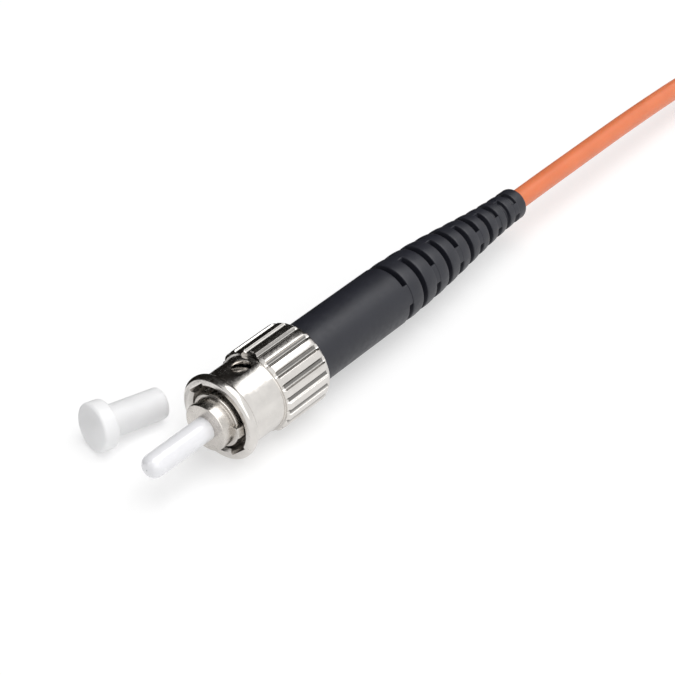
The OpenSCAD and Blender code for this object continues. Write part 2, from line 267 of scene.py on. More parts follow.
def ceramic(colour_):
    """Polished zirconia: white, slightly translucent, with a faint cloudiness."""
    made, tree, shader = finish_of(
        "zirconia", colour_, Roughness=0.14, IOR=1.9, Subsurface_Weight=0.2, Subsurface_Scale=0.0004,
        Subsurface_Radius=(1, 1, 1))
    at = place_of(tree)
    tinted(tree, shader, noise(tree, at, 0.9, 4), colour_, 0.985, 1.01)
    tree.links.new(between(tree, noise(tree, at, 0.25, 4), 0.11, 0.18), shader.inputs["Roughness"])
    bumped(tree, shader, noise(tree, at, 0.08, 3), 0.0002)
    return made


def rubber(colour_):
    """Matt moulded rubber: fine grain, cloudy sheen and pale scuffs."""
    made, tree, shader = finish_of(
        "boot_rubber", colour_, Roughness=0.46, Specular_IOR_Level=0.5)
    at = place_of(tree)
    tinted(tree, shader, noise(tree, at, 2.5, 5, 0.6), colour_, 0.9, 1.12)
    tree.links.new(between(tree, noise(tree, at, 0.7, 5), 0.40, 0.52), shader.inputs["Roughness"])
    flow = bumped(tree, shader, noise(tree, at, 0.9, 2), 0.006)
    bumped(tree, shader, noise(tree, at, 0.07, 3, 0.6), 0.004, under=flow)
    return made


def jacket_plastic(colour_):
    """Smooth extruded jacket: a soft gloss and long faint ripples."""
    made, tree, shader = finish_of(
        "jacket", colour_, Roughness=0.36, Subsurface_Weight=0.15, Subsurface_Scale=0.0006)
    at = place_of(tree)
    tinted(tree, shader, noise(tree, at, 4, 3), colour_, 0.96, 1.04)
    tree.links.new(between(tree, noise(tree, at, 0.6, 4), 0.31, 0.42), shader.inputs["Roughness"])
    ripple = bumped(tree, shader, noise(tree, at, 1.3, 2), 0.01)
    bumped(tree, shader, noise(tree, at, 0.09, 3), 0.0012, under=ripple)
    return made


def soft_plastic(colour_):
    """Milky polyethylene: light passes into it, and its skin is slightly waxy."""
    made, tree, shader = finish_of(
        "milky_plastic", colour_, Roughness=0.38, Subsurface_Weight=0.6, Subsurface_Scale=0.0012,
        Subsurface_Radius=(1, 1, 1))
    at = place_of(tree)
    tinted(tree, shader, noise(tree, at, 2, 4), colour_, 0.98, 1.02)
    tree.links.new(between(tree, noise(tree, at, 0.5, 4), 0.32, 0.46), shader.inputs["Roughness"])
    bumped(tree, shader, noise(tree, at, 0.35, 3), 0.003)
    return made


def plain_metal(name, colour_, roughness, grain_mm):
    """Drawn or stamped metal with a fine grain."""
    made, tree, shader = finish_of(name, colour_, Metallic=1.0, Roughness=roughness)
    at = place_of(tree)
    tinted(tree, shader, noise(tree, at, 0.8, 4), colour_, 0.88, 1.06)
    tree.links.new(between(tree, noise(tree, at, 0.3, 4), roughness * 0.8, roughness * 1.3),
                   shader.inputs["Roughness"])
    bumped(tree, shader, noise(tree, at, grain_mm, 3), 0.0015)
    return made


def plain_plastic(name, colour_, roughness, grain_mm, **more):
    """Small plastic or glass parts inside the connector."""
    made, tree, shader = finish_of(name, colour_, Roughness=roughness, **more)
    at = place_of(tree)
    tinted(tree, shader, noise(tree, at, 0.7, 4), colour_, 0.92, 1.05)
    bumped(tree, shader, noise(tree, at, grain_mm, 3), 0.002)
    return made


def fabric(colour_):
    """Hook and loop strap: a felt of tiny loops."""
    made, tree, shader = finish_of(
        "strap_fabric", colour_, Roughness=0.9, Sheen_Weight=0.35, Sheen_Roughness=0.6)
    at = place_of(tree)
    tinted(tree, shader, noise(tree, at, 0.5, 5, 0.7), colour_, 0.6, 1.8)
    loops = add(tree, "ShaderNodeTexVoronoi", {"Vector": at, "Scale": 1 / (0.28 * MM)}).outputs["Distance"]
    bumped(tree, shader, loops, 0.07)
    return made


# ---------------------------------------------------------------- forms, in millimetres


def eased(points, steps=4):
    """An outline whose corners are rounded. Points are (distance from the axis, place, radius)."""
    made = []
    count = len(points)
    for i, (r, y, radius) in enumerate(points):
        here = Vector((r, y))
        if radius <= 0:
            made.append((r, y))
            continue
        back = Vector(points[i - 1][:2]) - here
        on = Vector(points[(i + 1) % count][:2]) - here
        half = back.angle(on) / 2
        reach = min(radius / math.tan(half), 0.49 * back.length, 0.49 * on.length)
        start, end = here + back.normalized() * reach, here + on.normalized() * reach
        for k in range(steps + 1):
            t = k / steps
            made.append(tuple((1 - t) ** 2 * start + 2 * t * (1 - t) * here + t * t * end))
    return made


def arc(centre, radius, start, end, steps=8):
    """Points of an arc, as (distance from the axis, place, no rounding)."""
    return [(centre[0] + radius * math.cos(a), centre[1] + radius * math.sin(a), 0)
            for a in np.radians(np.linspace(start, end, steps + 1))]


def round_angles(count):
    return np.arange(count) * 2 * math.pi / count


def grid_form(name, reach, along, angles):
    """A closed form turned about Y: reach[i][j] is the distance from the axis at row i and angle j.
    The rows run round a closed outline, so that the last joins the first."""
    rows, columns = reach.shape
    points = np.stack([
        reach * np.cos(angles), np.broadcast_to(np.asarray(along)[:, None], reach.shape),
        reach * np.sin(angles)], axis=2).reshape(-1, 3)
    faces = [
        (i * columns + j, i * columns + (j + 1) % columns,
         (i + 1) % rows * columns + (j + 1) % columns, (i + 1) % rows * columns + j)
        for i in range(rows) for j in range(columns)]
    return form(name, points, faces)


def turned(name, outline, count=128):
    """A ring turned about Y from a closed outline that doesn't reach the axis."""
    outline = np.array(outline, float)
    angles = round_angles(count)
    return grid_form(name, np.repeat(outline[:, :1], count, 1), outline[:, 1], angles)


def form(name, points, faces):
    """An object from points and faces, with its normals outwards."""
    mesh = bpy.data.meshes.new(name)
    mesh.from_pydata([tuple(p) for p in points], [], faces)
    shell = bmesh.new()
    shell.from_mesh(mesh)
    bmesh.ops.remove_doubles(shell, verts=shell.verts, dist=1e-5)
    bmesh.ops.recalc_face_normals(shell, faces=shell.faces)
    shell.to_mesh(mesh)
    shell.free()
    made = bpy.data.objects.new(name, mesh)
    bpy.context.scene.collection.objects.link(made)
    return made


def prism(name, section, start, end):
    """A straight form: section is its (x, z) outline and it runs from y start to end."""
    count = len(section)
    points = [(x, y, z) for y in (start, end) for x, z in section]
    faces = [tuple(range(count)), tuple(range(2 * count - 1, count - 1, -1))]
    faces += [(i, i + count, (i + 1) % count + count, (i + 1) % count) for i in range(count)]
    return form(name, points, faces)


def round_section(radius, count=64):
    return [(radius * math.cos(a), radius * math.sin(a)) for a in round_angles(count)]


def turn_to(obj, matrix):
    obj.data.transform(matrix)
    return obj


def about_axis(angle):
    """Turns from +X towards +Z by angle."""
    return Matrix.Rotation(-angle, 4, "Y")


def radial(name, diameter, start, end, y, angle):
    """A rod that points away from the axis at that place and angle."""
    rod = prism(name, round_section(diameter / 2), start, end)
    outwards = Matrix.Rotation(-math.pi / 2, 4, "Z")
    return turn_to(rod, about_axis(angle) @ Matrix.Translation((0, y, 0)) @ outwards)


def settle(obj):
    """Takes the object's modifiers into its mesh."""
    made = bpy.data.meshes.new_from_object(obj.evaluated_get(bpy.context.evaluated_depsgraph_get()))
    old = obj.data
    obj.modifiers.clear()
    obj.data = made
    bpy.data.meshes.remove(old)
    return obj


def joined(obj, tool, operation):
    """Cuts the tool out of obj, or joins it to it, and removes the tool."""
    step = obj.modifiers.new("cut", "BOOLEAN")
    step.operation, step.object, step.solver = operation, tool, "EXACT"
    settle(obj)
    mesh = tool.data
    bpy.data.objects.remove(tool)
    bpy.data.meshes.remove(mesh)
    return obj


def bevelled(obj, width, limit=50, segments=2):
    """Rounds what edges turn by more than limit degrees."""
    step = obj.modifiers.new("bevel", "BEVEL")
    step.width, step.segments, step.limit_method = width, segments, "ANGLE"
    step.angle_limit, step.harden_normals = math.radians(limit), False
    return settle(obj)


def placed(obj, body, finish, slot, *nodes, sharp=35):
    """Scales the form to metres, shades it, ties it to its body and hides the nodes it stands in for; its
    slot is not used.
    """
    obj.data.transform(Matrix.Scale(MM, 4))
    obj.data.materials.clear()
    obj.data.materials.append(finish)
    obj.data.shade_smooth()
    obj.data.set_sharp_from_angle(angle=math.radians(sharp))
    obj.data.update()
    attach(obj, body)
    if nodes:
        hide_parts(*nodes)
    return obj


# ---------------------------------------------------------------- pieces


class ConnectorPiece:
    """What the pieces' operators have in common."""

    bl_options = {"REGISTER", "UNDO"}


class CONNECTOR_OT_studio(ConnectorPiece, bpy.types.Operator):
    """Camera, lamps, room light and floor"""

    bl_idname = "connector.studio"
    bl_label = "Studio"

    def execute(self, context):
        look = context.scene.connector_studio
        scene = context.scene
        scene.view_settings.view_transform = "Standard"

        camera = bpy.data.objects.new("camera", bpy.data.cameras.new("camera"))
        camera.location, camera.rotation_euler = look.camera_place, look.camera_turn
        camera.data.lens, camera.data.sensor_width = look.lens, 36
        camera.data.clip_start, camera.data.clip_end = 0.01, 10
        scene.collection.objects.link(camera)
        scene.camera = camera

        middle = Vector((0, 0.03, 0))
        self.soft_box(scene, "top_light", (0.10, 0.10, 0.50), middle, 0.55, look.key_power)
        self.soft_box(scene, "side_light", (0.45, -0.20, 0.30), middle, 0.45, look.fill_power)
        self.room(scene, look.room_level)
        self.floor(scene, look.floor_colour)
        self.flag(scene)
        return {"FINISHED"}

    def soft_box(self, scene, name, place, target, size, power):
        lamp = bpy.data.lights.new(name, "AREA")
        lamp.shape, lamp.size, lamp.energy = "SQUARE", size, power
        box = bpy.data.objects.new(name, lamp)
        box.location = place
        box.rotation_euler = (target - Vector(place)).to_track_quat("-Z", "Y").to_euler()
        scene.collection.objects.link(box)

    def seen_directly(self, tree):
        """1 for the rays that show the background: camera, glossy and transmission."""
        path = add(tree, "ShaderNodeLightPath")
        either = add(tree, "ShaderNodeMath", {
            0: path.outputs["Is Camera Ray"], 1: path.outputs["Is Glossy Ray"]}, operation="MAXIMUM")
        return add(tree, "ShaderNodeMath", {
            0: either.outputs[0], 1: path.outputs["Is Transmission Ray"]}, operation="MAXIMUM").outputs[0]

    def room(self, scene, level):
        world = bpy.data.worlds.new("room")
        scene.world = world
        world.use_nodes = True
        tree = world.node_tree
        shade = tree.nodes["Background"]
        shade.inputs["Color"].default_value = (1, 1, 1, 1)
        strength = add(tree, "ShaderNodeMapRange", {
            "Value": self.seen_directly(tree), "To Min": level, "To Max": 1.0})
        tree.links.new(strength.outputs["Result"], shade.inputs["Strength"])

    def floor(self, scene, colour_):
        """A wide pale floor; where it is seen directly it glows a little, and it keeps the shadows."""
        reach, z = 1.5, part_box("coupling_nut")[0].z
        mesh = bpy.data.meshes.new("floor")
        mesh.from_pydata([(-reach, -reach, z), (reach, -reach, z), (reach, reach, z), (-reach, reach, z)], [],
                         [(0, 1, 2, 3)])
        floor = bpy.data.objects.new("floor", mesh)
        scene.collection.objects.link(floor)
        made, tree, shader = finish_of("floor_paper", colour_, Roughness=1.0, Specular_IOR_Level=0.0)
        tinted(tree, shader, noise(tree, place_of(tree), 6, 4), colour_, 0.995, 1.005)
        glow_share, glow_level = 0.4, 1.2  # with the floor's own shade they come to white
        glow = add(tree, "ShaderNodeEmission", {"Color": (1, 1, 1, 1), "Strength": glow_level})
        share = add(tree, "ShaderNodeMath", {
            0: self.seen_directly(tree), 1: glow_share}, operation="MULTIPLY")
        mix = add(tree, "ShaderNodeMixShader", {
            0: share.outputs[0], 1: shader.outputs["BSDF"], 2: glow.outputs["Emission"]})
        tree.links.new(mix.outputs[0], tree.nodes["Material Output"].inputs["Surface"])
        mesh.materials.append(made)

    def flag(self, scene):
        """A black card close to the connector's left, seen only in what reflects."""
        mesh = bpy.data.meshes.new("flag")
        low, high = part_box("coupling_nut")[0].z, 0.1
        x, near, far = -0.014, -0.03, 0.12
        corners = [(x, near, low), (x, far, low), (x, far, high), (x, near, high)]
        mesh.from_pydata(corners, [], [(0, 1, 2, 3)])
        card = bpy.data.objects.new("flag", mesh)
        scene.collection.objects.link(card)
        black = (0.02, 0.018, 0.016)
        made, tree, shader = finish_of("black_card", black, Roughness=1.0, Specular_IOR_Level=0.0)
        tinted(tree, shader, noise(tree, place_of(tree), 60, 4), black, 0.5, 1.4)
        mesh.materials.append(made)
        card.visible_camera = card.visible_diffuse = card.visible_shadow = False
        card.visible_transmission = False


class CONNECTOR_OT_ferrule(ConnectorPiece, bpy.types.Operator):
    """The polished ceramic ferrule with its fibre"""

    bl_idname = "connector.ferrule"
    bl_label = "Ferrule"

    def execute(self, context):
        look = context.scene.connector_ferrule
        low, high = mm_box("ferrule")
        radius, tip, hole = high.x, look.tip_d / MM / 2, look.fibre_hole_d / MM / 2
        nose, seat, seat_r = look.nose_len / MM, high.y, radius - SEAT_STEP
        dome = 0.02  # how far the polished end is rounded back at the edge of its flat
        outline = [(hole, low.y, 0)]
        outline += [(tip * t, low.y + dome * t * t, 0) for t in (0.35, 0.6, 0.8, 1.0)]
        for a in np.radians(np.linspace(12, 90, 12)):
            outline.append((tip + (radius - tip) * math.sin(a),
                            low.y + dome + (nose - dome) * (1 - math.cos(a)), 0))
        outline += [(radius, 0, 0.02), (seat_r, 0, 0), (seat_r, seat, 0.1), (hole, seat, 0)]
        finish = ceramic(look.colour)
        placed(turned("ferrule_ceramic", eased(outline)), "root", finish, "ceramic", "ferrule")
        glass = plain_plastic("glass", (0.75, 0.8, 0.82), 0.05, 0.05, Transmission_Weight=0.6)
        frame["nodes"]["fibre"].data.materials[0] = glass
        return {"FINISHED"}


class CONNECTOR_OT_barrel(ConnectorPiece, bpy.types.Operator):
    """The turned barrel: hub, key, spring flange, stem and crimp post"""

    bl_idname = "connector.barrel"
    bl_label = "Barrel"

    def execute(self, context):
        look = context.scene.connector_metal
        back = mm_box("barrel")[1].y
        seat_r, seat_len, mouth = mm_box("ferrule")[1].x - SEAT_STEP, 3.5, 0.12
        bore_r, ring_gap, knurl = 0.8, 0.05, 0.15
        hub_r, hub_len, barrel_r = 2.6, 1.5, 2.95
        flange_front, flange_back, flange_r = 5.6, 6.6, 3.3
        stem_r, groove_r, ring = 2.15, 1.85, mm_box("retaining_ring")
        post_front, post_r = 13.4, 2.0
        ridges = 8
        pitch = (back - post_front) / ridges
        outline = [
            (seat_r + mouth, 0, 0.02), (hub_r, 0, 0.16), (hub_r, hub_len, 0.03), (barrel_r, hub_len, 0.14),
            (barrel_r, flange_front, 0.05), (flange_r, flange_front, 0.12), (flange_r, flange_back, 0.06),
            (stem_r, flange_back, 0.05), (stem_r, ring[0].y - ring_gap, 0.02),
            (groove_r, ring[0].y - ring_gap, 0.02), (groove_r, ring[1].y + ring_gap, 0.02),
            (stem_r, ring[1].y + ring_gap, 0.02),
            (stem_r, post_front - knurl, 0.03), (post_r - knurl, post_front, 0)]
        for i in range(ridges):
            y = post_front + i * pitch
            outline += [(post_r, y + 0.25 * pitch, 0.03), (post_r, y + 0.75 * pitch, 0.03),
                        (post_r - knurl, y + pitch, 0)]
        outline += [(bore_r, back, 0.03), (bore_r, seat_len, 0), (seat_r, seat_len, 0), (seat_r, mouth, 0)]
        barrel = turned("barrel_metal", eased(outline), 160)
        half_key, key_root, key_top, key_y, key_at = 0.6, 2.2, 3.35, (1.1, 3.5), math.radians(5)
        section = [(key_root, -half_key), (key_top, -half_key), (key_top, half_key), (key_root, half_key)]
        key = prism("key", section, *key_y)
        bevelled(key, 0.08, segments=3)
        turn_to(key, about_axis(key_at))
        joined(barrel, key, "UNION")
        finish = nickel("barrel_nickel", look.barrel_plating, look.roughness * 1.15, 0.07, 0.0009)
        placed(barrel, "root", finish, "nickel", "barrel")
        return {"FINISHED"}


class CONNECTOR_OT_inside(ConnectorPiece, bpy.types.Operator):
    """The parts inside: lead-in tube, buffer, yarn, crimp sleeve, ring, washer and spring"""

    bl_idname = "connector.inside"
    bl_label = "Inner parts"

    def execute(self, context):
        nodes = frame["nodes"]
        steel = plain_metal("spring_steel", (0.56, 0.56, 0.57), 0.28, 0.06)
        for node, finish in {
            "lead_in_tube": plain_plastic("clear_tube", (0.82, 0.8, 0.7), 0.3, 0.1, Transmission_Weight=0.5),
            "buffer": plain_plastic("buffer_coat", (0.86, 0.84, 0.76), 0.4, 0.08),
            "aramid_yarn": plain_plastic("yarn_fibre", (0.78, 0.56, 0.12), 0.75, 0.03),
            "crimp_sleeve": plain_metal("sleeve_metal", (0.72, 0.71, 0.69), 0.3, 0.1),
            "retaining_ring": plain_metal("ring_steel", (0.2, 0.19, 0.18), 0.35, 0.05),
            "thrust_washer": steel,
        }.items():
            nodes[node].data.materials[0] = finish
        self.spring(steel)
        return {"FINISHED"}

    def spring(self, steel):
        low, high = mm_box("spring")
        wire_r, sides, per_turn, turns = 0.2, 14, 56, 4.25
        mean_r = high.x - wire_r
        flat, lift = 0.75, 0.35
        total = turns - 2 * flat + 2 * lift
        count = int(turns * per_turn)
        t = np.arange(count + 1) / per_turn
        climb = np.where(t < flat, lift * t / flat, np.where(
            t > turns - flat, total - lift + lift * (t - turns + flat) / flat, lift + t - flat))
        y = low.y + wire_r + (high.y - low.y - 2 * wire_r) * climb / total
        a, b = 2 * math.pi * t[:, None], round_angles(sides)[None, :]
        r = mean_r + wire_r * np.cos(b)
        points = np.stack([r * np.cos(a), y[:, None] + wire_r * np.sin(b) + 0 * a, r * np.sin(a)], axis=2)
        faces = [tuple(range(sides)), tuple(range(count * sides + sides - 1, count * sides - 1, -1))]
        for i in range(count):
            a, b = i * sides, (i + 1) * sides
            faces += [(a + k, b + k, b + (k + 1) % sides, a + (k + 1) % sides) for k in range(sides)]
        spring = form("coil_spring", points.reshape(-1, 3), faces)
        placed(spring, "root", steel, "steel", "spring", sharp=60)
        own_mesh(spring)


class CONNECTOR_OT_coupling_nut(ConnectorPiece, bpy.types.Operator):
    """The fluted bayonet coupling nut"""

    bl_idname = "connector.coupling_nut"
    bl_label = "Coupling nut"

    def execute(self, context):
        look = context.scene.connector_metal
        low, high = mm_box("coupling_nut")
        front, back = low.y, high.y
        bead_r, neck_r, grip_r = high.z, 4.1, 4.65
        bore_r, web_bore, recess_r = 3.5, 2.23, 3.65
        bead_len, grip_front = 1.15, back - 6.45
        washer = mm_box("thrust_washer")
        web_front, web_back = washer[1].y + 0.05, washer[1].y + 0.95
        face_round, bead_round, mouth, bevel = 0.42, bead_len / 2, 0.3, 0.3
        outline = [(bore_r, front + mouth, 0.05), (bore_r + mouth, front, 0.05)]
        outline += arc((bead_r - face_round, front + face_round), face_round, -90, 0)
        outline += arc((bead_r - bead_round, front + bead_len - bead_round), bead_round, 0, 72, 10)
        outline += [(neck_r, front + bead_len, 0.06), (neck_r, front + 2.6, 0), (neck_r, grip_front - 1, 0),
                    (neck_r, grip_front, 0.06)]
        outline += [(grip_r - bevel + bevel * t, grip_front + bevel * t, 0) for t in np.linspace(0, 1, 11)]
        outline += [(grip_r, grip_front + s, 0) for s in (0.45, 1.2, 2.4, 3.6, 4.8)]
        outline += [(grip_r, back - 0.6, 0), (grip_r - 0.03, back - 0.45, 0), (grip_r - 0.1, back - 0.3, 0),
                    (grip_r - 0.2, back - 0.12, 0), (grip_r - bevel, back, 0.04),
                    (recess_r + 0.15, back, 0.03), (recess_r, back - 0.15, 0.03),
                    (recess_r, web_back, 0.05), (web_bore, web_back, 0.03),
                    (web_bore, web_front, 0.03), (bore_r, web_front, 0.05)]
        outline = np.array(eased(outline))

        angles, flute = self.flute(look, grip_r)
        reach = np.repeat(outline[:, :1], len(angles), 1)
        soft = 0.02  # how softly a flute meets the turned surface
        outer = (outline[:, 0] > neck_r + 0.02) & (outline[:, 1] > grip_front - 0.01)
        gap = flute[None, :] - reach[outer]
        reach[outer] += np.minimum(0, gap / 2 - np.sqrt(gap * gap + soft * soft) / 2 + soft / 2)
        nut = grid_form("coupling_nut_metal", reach, outline[:, 1], angles)

        lock_y, lock_at, entry_at = front + 4.1, math.radians(96), math.radians(135)
        inside, outside, slot_floor, half_slot, spot_r = 2.4, 6, 3.85, 1.2, 3.95
        section = [(inside, -half_slot), (slot_floor, -half_slot), (slot_floor, half_slot),
                   (inside, half_slot)]
        for half in (0, math.pi):
            entry = prism("entry", section, front - 1, lock_y - 0.6)
            joined(nut, turn_to(entry, about_axis(entry_at + half)), "DIFFERENCE")
            joined(nut, self.ramp(entry_at + half, lock_at + half, lock_y), "DIFFERENCE")
            joined(nut, radial("spotface", 3.6, spot_r, outside, lock_y, lock_at + half), "DIFFERENCE")
            joined(nut, radial("lock_hole", 2.1, inside, outside, lock_y, lock_at + half), "DIFFERENCE")
        bevelled(nut, look.edge / MM, 48)
        # painted shade: where the nut's nickel is darkened in the flutes, from the grip's front to its back
        groove_shade = (grip_front + 0.35, back - 0.4, grip_r - 0.28, grip_r - 0.04)
        finish = nickel("nut_nickel", look.plating, look.roughness, groove_shade=groove_shade)
        placed(nut, "nut", finish, "nickel", "coupling_nut")
        return {"FINISHED"}

    def flute(self, look, grip_r):
        """(angles, distance from the axis) round the grip."""
        cutter, centre = look.flute_d / MM / 2, grip_r + 0.02
        pitch, half = 2 * math.pi / look.flutes, cutter / grip_r
        steps = half * np.array([-1.35, -1.15, -1.03, -0.96, -0.85, -0.6, -0.3, 0, 0.3, 0.6, 0.85, 0.96, 1.03,
                                 1.15, 1.35])
        land = np.linspace(1.35 * half, pitch - 1.35 * half, 5)[1:-1]
        one = np.concatenate([steps, land])
        depth = np.sqrt(np.maximum(0, cutter ** 2 - (steps * grip_r) ** 2))
        edge = np.where(np.abs(steps) > half, 0.02 * (1.35 - np.abs(steps) / half) / 0.35, 0)
        reach = np.concatenate([
            np.where(np.abs(steps) > half * 0.99, grip_r - edge, np.minimum(grip_r - 0.03, centre - depth)),
            np.full(len(land), grip_r)])
        angles = np.concatenate([look.flute_at + k * pitch + one for k in range(look.flutes)])
        return angles, np.tile(reach, look.flutes)

    def ramp(self, entry_at, lock_at, lock_y):
        """The helical part of a bayonet slot, from its entry to the lock hole."""
        half_w, side = 1.05, math.radians(16)
        points = []
        for t in np.linspace(0, 1, 17):
            a = entry_at + side + (lock_at - entry_at - 2 * side) * t
            y = lock_y - 0.65 * (1 - min(1, max(0, (entry_at - a) / (entry_at - lock_at))))
            points += [(r * math.cos(a), y + w, r * math.sin(a))
                       for r, w in ((2.6, -half_w), (3.8, -half_w), (3.8, half_w), (2.6, half_w))]
        count = len(points) // 4
        faces = [(0, 1, 2, 3), tuple(range(4 * count - 1, 4 * count - 5, -1))]
        faces += [(4 * i + k, 4 * i + (k + 1) % 4, 4 * i + 4 + (k + 1) % 4, 4 * i + 4 + k)
                  for i in range(count - 1) for k in range(4)]
        return form("ramp", points, faces)


class CONNECTOR_OT_boot(ConnectorPiece, bpy.types.Operator):
    """The slotted strain relief boot"""

    bl_idname = "connector.boot"
    bl_label = "Boot"

    def execute(self, context):
        look = context.scene.connector_boot
        low, high = mm_box("boot")
        front, end, radius, end_r = low.y, high.y, high.x, 1.875
        stations, slot_w, taper, rib_round = 11, 0.75, 27.0, 0.1
        bore_r, core_wall = 1.25, 0.22
        core = bore_r + core_wall
        round_ = look.slot_edge / MM
        first, pitch, pitch_step = 28.2, 2.55, 0.09
        centre = [first + pitch * k - k * (k - 1) / 2 * pitch_step for k in range(stations)]

        def bare(y):
            t = max(0.0, (y - taper) / (end - taper))
            return radius - (radius - end_r) / 2 * (1 - math.cos(math.pi * t ** 1.1))

        def ribbed(y):
            for k in range(stations - 1):
                if centre[k] <= y < centre[k + 1]:
                    q = (y - centre[k]) / (centre[k + 1] - centre[k])
                    return bare(y) - rib_round * (2 * q - 1) ** 2
            return bare(y) if y < taper + 1 else max(bare(y), end_r)

        rows = []  # (place, reach outside the slots, drop inside them, station)
        sleeve_r, neck_r = 2.47, 1.6  # the hollow round the crimp sleeve and round its neck
        face = eased([(2.2, front, 0), (2.55, front, 0), (radius, front, 0.15), (radius, front + 3, 0)])
        rows += [(y, r, 0, 0) for r, y in face[1:-1]]
        rows += [(y, radius, 0, 0) for y in np.linspace(front + 0.5, taper, 13)]
        half = slot_w / 2
        rim = [(half + round_ * 1.2, 0.0), (half + round_ * 0.6, 0.12), (half + round_ * 0.2, 0.45),
               (half, 1.0)]
        for k in range(stations):
            c = centre[k]
            for off, share in rim:
                rows.append((c - off, ribbed(c - off), share * round_, k))
            full = ribbed(c) - core
            floor = [(-half + 0.015, 0.1), (-half + 0.05, 0.03), (-half + 0.1, 0), (0, 0),
                     (half - 0.1, 0), (half - 0.05, 0.03), (half - 0.015, 0.1)]
            rows += [(c + off, ribbed(c), full - lift, k) for off, lift in floor]
            for off, share in reversed(rim):
                rows.append((c + off, ribbed(c + off), share * round_, k))
            if k < stations - 1:
                gap = centre[k + 1] - c
                rows += [(c + q * gap, ribbed(c + q * gap), 0, k) for q in (0.3, 0.4, 0.5, 0.6, 0.7)]
        lip = 0.45
        rows += [(y, end_r, 0, 0) for y in (end - 1.0, end - 0.7)]
        rows += [(p[1], p[0], 0, 0) for p in arc((end_r - lip, end - lip), lip, 0, 90, 8)]
        inside = [(bore_r, end), (bore_r, 25.0), (neck_r, 24.65), (neck_r, 21.65), (sleeve_r, 18.45),
                  (sleeve_r, front)]
        rows += [(y, r, 0, 0) for r, y in inside]

        angles, shares = self.slot_sectors(stations)
        reach = np.array([[r - drop * s for s in shares[k]] for _, r, drop, k in rows])
        boot = grid_form("boot_rubber_form", reach, [row[0] for row in rows], angles)
        placed(boot, "root", rubber(look.rubber), "boot_rubber", "boot", sharp=50)
        return {"FINISHED"}

    def slot_sectors(self, stations):
        """(angles, for each station how much of the slot is cut at each angle)."""
        web_at, half_web = 26.0, 20.0
        angles = set(np.round(np.arange(0, 360, 4.0), 3))
        for quarter in range(4):
            for side in (-1, 1):
                for off in (-3.5, -2.2, -1.2, -0.4, 0.0, 0.5, 1.4, 3.0):
                    angles.add(round((web_at + 90 * quarter + side * (half_web + off)) % 360, 3))
        angles = np.array(sorted(angles))
        keep = np.concatenate([[True], np.diff(angles) > 0.25])
        angles = angles[keep]
        shares = []
        for k in range(stations):
            off = np.abs((angles - web_at - 90 * k + 90) % 180 - 90) - half_web
            shares.append(np.interp(
                off, [-2.4, -1.2, -0.4, 0.0, 0.5, 1.4, 3.0], [0, 0.01, 0.03, 0.06, 0.93, 0.985, 1]))
        return np.radians(angles), shares


class CONNECTOR_OT_dust_cap(ConnectorPiece, bpy.types.Operator):
    """The dust cap that lies beside the ferrule"""

    bl_idname = "connector.dust_cap"
    bl_label = "Dust cap"

    def execute(self, context):
        look = context.scene.connector_cap
        head_r, head_t, tube_r, tube_len, bore_r, depth = 2.6, 1.7, 1.7, 6.6, 1.25, 7.2
        total = head_t + tube_len
        face_edge, edge = 0.35, 0.25
        outline = [(0.0, 0.03, 0), (1.2, 0.02, 0), (head_r - 0.4, 0, 0)]
        outline += arc((head_r - face_edge, face_edge), face_edge, -80, 0)
        outline += arc((head_r - edge, head_t - edge), edge, 0, 90, 6)
        outline += [(tube_r, head_t, 0.12)]
        outline += arc((tube_r - edge, total - edge), edge, 0, 80, 6)
        outline += [(bore_r + 0.05, total, 0.04), (bore_r, total - 0.1, 0), (bore_r, total - depth, 0.2),
                    (0.0, total - depth, 0)]
        outline = eased(outline)
        cap = self.solid("dust_cap_plastic", outline, 96)
        tip = math.asin((head_r - tube_r) / tube_len)
        turn_to(cap, Matrix.Rotation(look.heading, 4, "Z") @ Matrix.Rotation(-tip, 4, "X"))
        low = Vector([min(v.co[k] for v in cap.data.vertices) for k in range(3)])
        corner = mm_box("dust_cap")[0]
        corner.z = mm_box("coupling_nut")[0].z
        turn_to(cap, Matrix.Translation(corner - low))
        placed(cap, "root", soft_plastic(look.plastic), "cap_plastic", "dust_cap")
        return {"FINISHED"}

    def solid(self, name, outline, count):
        """A form turned from an outline that starts and ends on the axis."""
        ring = outline[1:-1]
        points = [(0, outline[0][1], 0)]
        for r, y in ring:
            points += [(r * math.cos(a), y, r * math.sin(a)) for a in round_angles(count)]
        points.append((0, outline[-1][1], 0))
        last = len(points) - 1
        faces = []
        for j in range(count):
            n = (j + 1) % count
            faces.append((0, 1 + j, 1 + n))
            for i in range(len(ring) - 1):
                a = 1 + i * count
                faces.append((a + j, a + n, a + count + n, a + count + j))
            a = 1 + (len(ring) - 1) * count
            faces.append((a + j, a + n, last))
        return form(name, points, faces)


# The lead's route out of the boot and down to the floor, in metres, as its solid has it.
LEAD_ROUTE = [
    (0, 0.022, 0), (0, 0.028, 0), (0, 0.034, 0), (0, 0.040, 0), (0, 0.046, 0), (0, 0.052, 0), (0, 0.058, 0),
    (0, 0.064, -0.00005), (0, 0.070, -0.0001), (0, 0.076, -0.0002), (0, 0.082, -0.0004), (0, 0.088, -0.0007),
    (0.0002, 0.094, -0.0011), (0.0009, 0.100, -0.0018), (0.0021, 0.106, -0.0025), (0.0036, 0.112, -0.0031),
    (0.0050, 0.118, -0.0034), (0.0061, 0.124, -0.0035), (0.0066, 0.130, -0.0035)]


def smooth_step(t):
    t = np.clip(t, 0, 1)
    return t * t * (3 - 2 * t)


